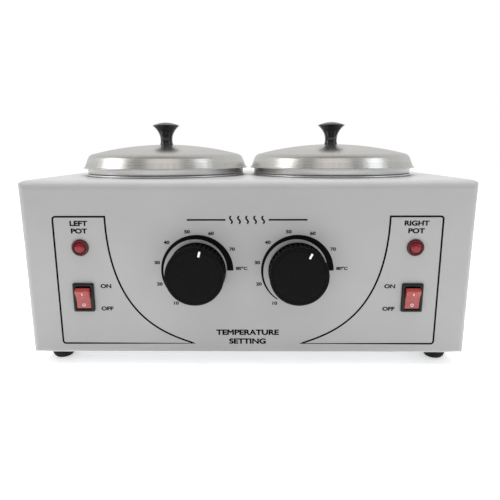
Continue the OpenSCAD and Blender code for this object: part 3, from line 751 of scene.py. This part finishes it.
def add_ribbon(bm, points, widths, closed=False):
    """Adds a flat printed line through points, (x, z) from the middle of the top edge."""
    count = len(points)
    rings = []
    for i, here in enumerate(points):
        before = points[i - 1] if closed or i else here
        after = points[(i + 1) % count] if closed or i < count - 1 else here
        back, ahead = Vector(here) - Vector(before), Vector(after) - Vector(here)
        back = back.normalized() if back.length else ahead.normalized()
        ahead = ahead.normalized() if ahead.length else back
        along = (back + ahead).normalized()
        reach = widths[i] / 2 / max(along.dot(ahead), 0.5)
        off = Vector((-along.y, along.x)) * reach
        a, b = Vector(here) + off, Vector(here) - off
        rings.append([(a.x, a.y, INK_LOW), (a.x, a.y, INK_HIGH), (b.x, b.y, INK_HIGH),
                      (b.x, b.y, INK_LOW)])
    add_loft(bm, rings, wrap=closed)


def embolden(letters, amount):
    """Pushes the outlines of flat-sided letters outward, with blunt corners."""
    bluntness = 0.75

    def spot(vertex):
        return tuple(round(c, 5) for c in vertex.co.xy)

    sides = {}
    for face in letters.polygons:
        if abs(face.normal.z) < 0.5:
            for i in face.vertices:
                normals = sides.setdefault(spot(letters.vertices[i]), [])
                normals.append(face.normal.xy.normalized())
    for vertex in letters.vertices:
        normals = sides[spot(vertex)]
        push = sum(normals, Vector((0, 0))).normalized()
        mitre = max(push.dot(normal) for normal in normals)
        vertex.co.xy += push * amount / max(mitre, bluntness)


def add_words(bm, words, cap, x, z):
    """Adds raised lettering whose capitals are cap millimetres high, centred on x and z."""
    text = bpy.data.curves.new("lettering", "FONT")
    text.body = words
    text.align_x = "CENTER"
    text.extrude = 0.5
    holder = bpy.data.objects.new("lettering", text)
    bpy.context.scene.collection.objects.link(holder)
    letters = bpy.data.meshes.new_from_object(
        holder.evaluated_get(bpy.context.evaluated_depsgraph_get()))
    embolden(letters, STROKE_GROWTH)
    xs = [v.co.x for v in letters.vertices]
    ys = [v.co.y for v in letters.vertices]
    size = cap / (max(ys) - min(ys))
    middle_x, middle_y = (max(xs) + min(xs)) / 2, (max(ys) + min(ys)) / 2
    for v in letters.vertices:
        v.co = (((v.co.x - middle_x) * size * LETTER_STRETCH + x) * MM,
                ((v.co.y - middle_y) * size + z) * MM,
                (INK_HIGH if v.co.z > 0 else INK_LOW) * MM)
    bm.from_mesh(letters)
    bpy.data.meshes.remove(letters)
    bpy.data.objects.remove(holder)
    bpy.data.curves.remove(text)


def add_print(bm, name):
    bmesh.ops.remove_doubles(bm, verts=bm.verts, dist=0.002 * MM)
    add_piece(to_mesh(bm, name), on_panel(0, TOP), BASE, "panel_print", sharp_angle=30)


def swoop(steps=40):
    """The curve from the box's inner top corner down to its pointed tip."""
    start, low = Vector((BOX_INNER_X, BOX_TOP)), Vector((TIP_X, BOX_LOW))
    tip_rise = math.radians(20)
    steer_a = start + Vector((0, -74))
    steer_b = low + 22 * Vector((math.cos(tip_rise), math.sin(tip_rise)))
    curve = []
    for i in range(steps + 1):
        t = i / steps
        curve.append((1 - t) ** 3 * start + 3 * (1 - t) ** 2 * t * steer_a
                     + 3 * (1 - t) * t ** 2 * steer_b + t ** 3 * low)
    return [(point.x, point.y) for point in curve]


def print_frame(side):
    """The outline round a side's switch and lamp."""
    square = rounded([(TIP_X, BOX_LOW), (BOX_X, BOX_LOW, 2), (BOX_X, BOX_TOP, 2),
                      (BOX_INNER_X, BOX_TOP)])
    outline = [(SIDES[side] * x, z) for x, z in square + swoop()[1:-1]]
    bm = bmesh.new()
    add_ribbon(bm, outline, [LINE_W] * len(outline), closed=True)
    add_print(bm, f"print_frame_{side}")


def scale_width(angle):
    """The dial's arc swells from a hairline at its low end to a broad band at its high end."""
    share = (angle - SCALE_START) / (SCALE_END - SCALE_START)
    return 0.7 + 4.0 * share


def print_scale(side):
    """The swelling arc round a dial, and the temperatures along it."""
    x0, z0 = SIDES[side] * middle("dial_knob_right", 0), DIAL_Z - TOP
    bm = bmesh.new()
    angles = [SCALE_START + (SCALE_END - SCALE_START) * i / 80 for i in range(81)]
    widths = [scale_width(a) for a in angles]
    arc = []
    for angle, width in zip(angles, widths):
        r, turn = SCALE_R - width / 2, math.radians(angle)
        arc.append((x0 + r * math.sin(turn), z0 + r * math.cos(turn)))
    add_ribbon(bm, arc, widths)
    numbers = {"10": (-147, 29), "20": (-110, 29), "30": (-78.4, 29), "40": (-46, 29.4),
               "50": (-13, 28.8), "60": (21, 28.8), "70": (58, 29.4), "80°C": (87, 31.6)}
    for words, (angle, r) in numbers.items():
        turn = math.radians(angle)
        add_words(bm, words, 2.5, x0 + r * math.sin(turn), z0 + r * math.cos(turn))
    add_print(bm, f"print_scale_{side}")


def print_labels(side):
    """The switch positions and the name of the pot that they heat."""
    sign = SIDES[side]
    lamp_z = middle(f"pilot_lens_{side}", 2) - TOP
    switch_z = middle(f"switch_frame_{side}", 2) - TOP
    lamp_x = middle(f"pilot_lens_{side}", 0)
    heading_cap, position_cap, position_x = 3.7, 3.1, lamp_x - sign * 16.2
    bm = bmesh.new()
    add_words(bm, side.upper(), heading_cap, lamp_x, lamp_z + 17.3)
    add_words(bm, "POT", heading_cap, lamp_x, lamp_z + 11.9)
    add_words(bm, "ON", position_cap, position_x, switch_z + 8.3)
    add_words(bm, "OFF", position_cap, position_x, switch_z - 8.6)
    add_print(bm, f"print_labels_{side}")


def print_heading():
    """A heat sign between two rules, over the dials."""
    bm = bmesh.new()
    z, half_span = -27.3, 42
    waves, wave_pitch, wave_height, sway = 5, 5.6, 5.4, 0.8
    for i in range(waves):
        x = (i - (waves - 1) / 2) * wave_pitch
        line = [(x + sway * math.sin(math.pi * k / 8),
                 z - wave_height / 2 + wave_height * k / 16) for k in range(17)]
        add_ribbon(bm, line, [RULE_W] * len(line))
    for sign in (-1, 1):
        inner = waves * wave_pitch / 2 + 1
        add_ribbon(bm, [(sign * inner, z), (sign * half_span, z)], [RULE_W] * 2)
    add_print(bm, "print_heading")


def print_caption():
    cap = 4.3
    bm = bmesh.new()
    add_words(bm, "TEMPERATURE", cap, 0, -110.4)
    add_words(bm, "SETTING", cap, 0, -117.3)
    add_print(bm, "print_caption")


# ---- camera, floor and light ----


def set_camera():
    data = bpy.data.cameras.new("camera")
    data.lens, data.sensor_width = 33.3, 36
    camera = bpy.data.objects.new("camera", data)
    bpy.context.scene.collection.objects.link(camera)
    yaw, pitch, roll = -0.0113, 0.2108, -0.0027
    side, away, rise = 5.6, 318.9, 19.5
    forward = Vector((math.sin(yaw) * math.cos(pitch), math.cos(yaw) * math.cos(pitch),
                      -math.sin(pitch)))
    right = Vector((math.cos(yaw), -math.sin(yaw), 0))
    up = right.cross(forward)
    tilted = math.cos(roll) * right + math.sin(roll) * up
    axes = Matrix((tilted, tilted.cross(forward), -forward)).transposed()
    camera.matrix_world = standing(side, FRONT - away, TOP + rise) @ axes.to_4x4()
    bpy.context.scene.camera = camera


def add_floor():
    bm = bmesh.new()
    bmesh.ops.create_grid(bm, x_segments=8, y_segments=8, size=6)
    floor = bpy.data.objects.new("floor", to_mesh(bm, "floor"))
    bpy.context.scene.collection.objects.link(floor)
    surface = Surface("floor_paper", Emission_Color=(1, 1, 1, 1), Emission_Strength=0.45)
    surface.colour(surface.noise(400.0), grey(0.90), grey(0.92))
    surface.rough(surface.noise(30.0), 0.75, 0.85)
    floor.data.materials.append(surface.material)


def add_softbox(name, place, target, size, power, tint, mirrored=True):
    data = bpy.data.lights.new(name, "AREA")
    data.shape = "RECTANGLE"
    data.size, data.size_y = size
    data.energy = power
    data.color = tint
    light = bpy.data.objects.new(name, data)
    bpy.context.scene.collection.objects.link(light)
    light.location = place
    aim = Vector(target) - Vector(place)
    light.rotation_euler = aim.to_track_quat("-Z", "Y").to_euler()
    light.visible_glossy = mirrored


def set_world():
    """A white studio, whose light comes more from behind the object than from the front."""
    world = bpy.data.worlds.new("studio")
    bpy.context.scene.world = world
    world.use_nodes = True
    tree = world.node_tree
    direction = tree.nodes.new("ShaderNodeTexCoord").outputs["Generated"]
    split = tree.nodes.new("ShaderNodeSeparateXYZ")
    tree.links.new(direction, split.inputs[0])
    ramp = tree.nodes.new("ShaderNodeMapRange")
    tree.links.new(split.outputs["Y"], ramp.inputs["Value"])
    for socket, value in {"From Min": -0.5, "From Max": 0.3, "To Min": 0.34, "To Max": 0.80}.items():
        ramp.inputs[socket].default_value = value
    seen = tree.nodes.new("ShaderNodeLightPath").outputs["Is Camera Ray"]
    strength = tree.nodes.new("ShaderNodeMath")
    strength.operation = "MAXIMUM"
    tree.links.new(seen, strength.inputs[0])
    tree.links.new(ramp.outputs["Result"], strength.inputs[1])
    tree.links.new(strength.outputs[0], tree.nodes["Background"].inputs["Strength"])
    tree.nodes["Background"].inputs["Color"].default_value = (1, 1, 1, 1)


def set_stage():
    add_floor()
    set_world()
    target = (0, 0, 0.1)
    add_softbox("overhead", (0, 0.15, 1.3), target, (1.6, 1.2), 34, (1, 1, 1), mirrored=False)
    add_softbox("left_box", (-1.4, -0.3, 0.7), target, (0.7, 1.0), 6, (1, 0.99, 0.98))
    add_softbox("right_box", (1.2, -0.6, 0.7), target, (0.5, 1.0), 3, (0.90, 0.95, 1))
    add_softbox("front_box", (0, -0.9, 0.95), target, (0.9, 0.5), 1.0, (1, 0.97, 0.95))
    bpy.context.scene.view_settings.view_transform = "Standard"


# ---- the whole object ----

set_camera()
set_stage()
dress_cad_nodes()
for side in SIDES:
    add_pots(side)
    add_dial(side)
    add_switch(side)
    add_lamp(side)
    print_frame(side)
    print_scale(side)
    print_labels(side)
    for end in ("front", "rear"):
        add_foot(f"foot_{end}_{side}")
add_gland()
print_heading()
print_caption()
